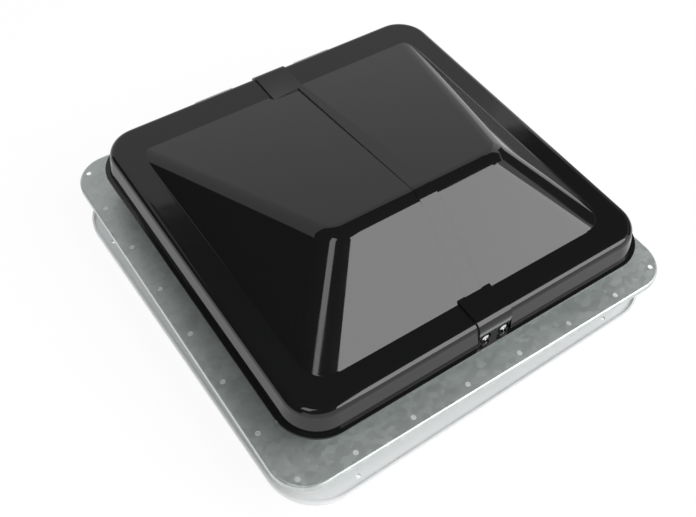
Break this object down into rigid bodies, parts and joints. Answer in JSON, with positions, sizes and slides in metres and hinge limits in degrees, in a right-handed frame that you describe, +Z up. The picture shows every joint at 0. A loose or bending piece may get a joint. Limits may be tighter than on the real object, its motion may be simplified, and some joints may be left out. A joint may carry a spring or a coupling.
{
  "type": "roof vent",
  "caption": "Square hand-cranked roof vent: steel flange with collar, hinged hip-roofed black lid, worm-driven lift arm and pale trim ring with insect screen.",
  "frame": {"origin": "middle of the throat on the flange's underside", "axes": "+Z up, out of the roof; -Y the lid's opening edge; +Y the hinge side; +X to the right seen from the front"},
  "size_m": [0.4424, 0.4424, 0.1654],
  "materials": {
    "galvanised": "galvanised, faint spangle",
    "lid_plastic": "smooth black, semi-gloss",
    "ring_plastic": "pale, satin",
    "foam": "closed-cell foam",
    "zinc_strip": "zinc plated",
    "bright_screw": "bright",
    "rivet_metal": "plain",
    "pin_steel": "turned",
    "arm_steel": "zinc plated",
    "cast_body": "as cast",
    "nylon": "natural nylon",
    "handle_plastic": "pale moulded",
    "frame_aluminium": "mill",
    "net": "coated glass-fibre net",
    "grommet_rubber": "soft"
  },
  "bodies": {
    "base": {"roof_base": "galvanised", "collar_gasket": "foam", "foot_hinge_leaves": "zinc_strip", "foot_leaf_rivets": "rivet_metal", "hinge_pins": "pin_steel", "arm_pivot_pin": "pin_steel", "operator_body": "cast_body", "operator_screws": "bright_screw", "shaft_bushings": "nylon", "crossbar": "galvanised", "crossbar_screws": "bright_screw", "trim_ring": "ring_plastic", "screen_frame": "frame_aluminium", "screen_mesh": "net", "shaft_grommet": "grommet_rubber", "screen_clips": "zinc_strip", "clip_rivets": "rivet_metal"},
    "lid": {"lid_shell": "lid_plastic", "lid_strap": "zinc_strip", "lid_front_screws": "bright_screw", "lid_rear_rivets": "rivet_metal", "lid_hinge_leaves": "zinc_strip", "lid_leaf_rivets": "rivet_metal", "lift_guide": "zinc_strip", "guide_rivets": "rivet_metal"},
    "arm": {"lift_arm": "arm_steel", "arm_tip_pin": "pin_steel"},
    "shoe": {"slide_shoe": "nylon"},
    "crank": {"worm_shaft": "pin_steel", "shaft_clip": "pin_steel", "crank_handle": "handle_plastic", "handle_set_screw": "bright_screw", "knob_pin": "pin_steel"},
    "knob": {"crank_knob": "handle_plastic"}
  },
  "joints": [
    {"name": "lid_hinge", "type": "hinge", "parent": "base", "child": "lid", "pos_m": [0, 0.1915, 0.0228], "axis": [-1, 0, 0], "range_deg": [0, 60]},
    {"name": "arm_pivot", "type": "hinge", "parent": "base", "child": "arm", "pos_m": [0, 0.02858, 0.00343], "axis": [-1, 0, 0], "range_deg": [0, 120]},
    {"name": "shoe_pivot", "type": "hinge", "parent": "arm", "child": "shoe", "pos_m": [0, -0.13, 0.0455], "axis": [-1, 0, 0], "range_deg": [-60, 0]},
    {"name": "crank_turn", "type": "hinge", "parent": "base", "child": "crank", "pos_m": [0.01115, 0.05708, 0], "axis": [0, 0, 1], "range_deg": [0, 3600]},
    {"name": "knob_spin", "type": "hinge", "parent": "crank", "child": "knob", "pos_m": [-0.02176, 0.03808, 0], "axis": [0, 0, 1], "continuous": true}
  ],
  "couplings": [
    {"joint": "arm_pivot", "follows": "lid_hinge", "ratio": 2},
    {"joint": "shoe_pivot", "follows": "lid_hinge", "ratio": -1},
    {"joint": "crank_turn", "follows": "lid_hinge", "ratio": 60}
  ]
}
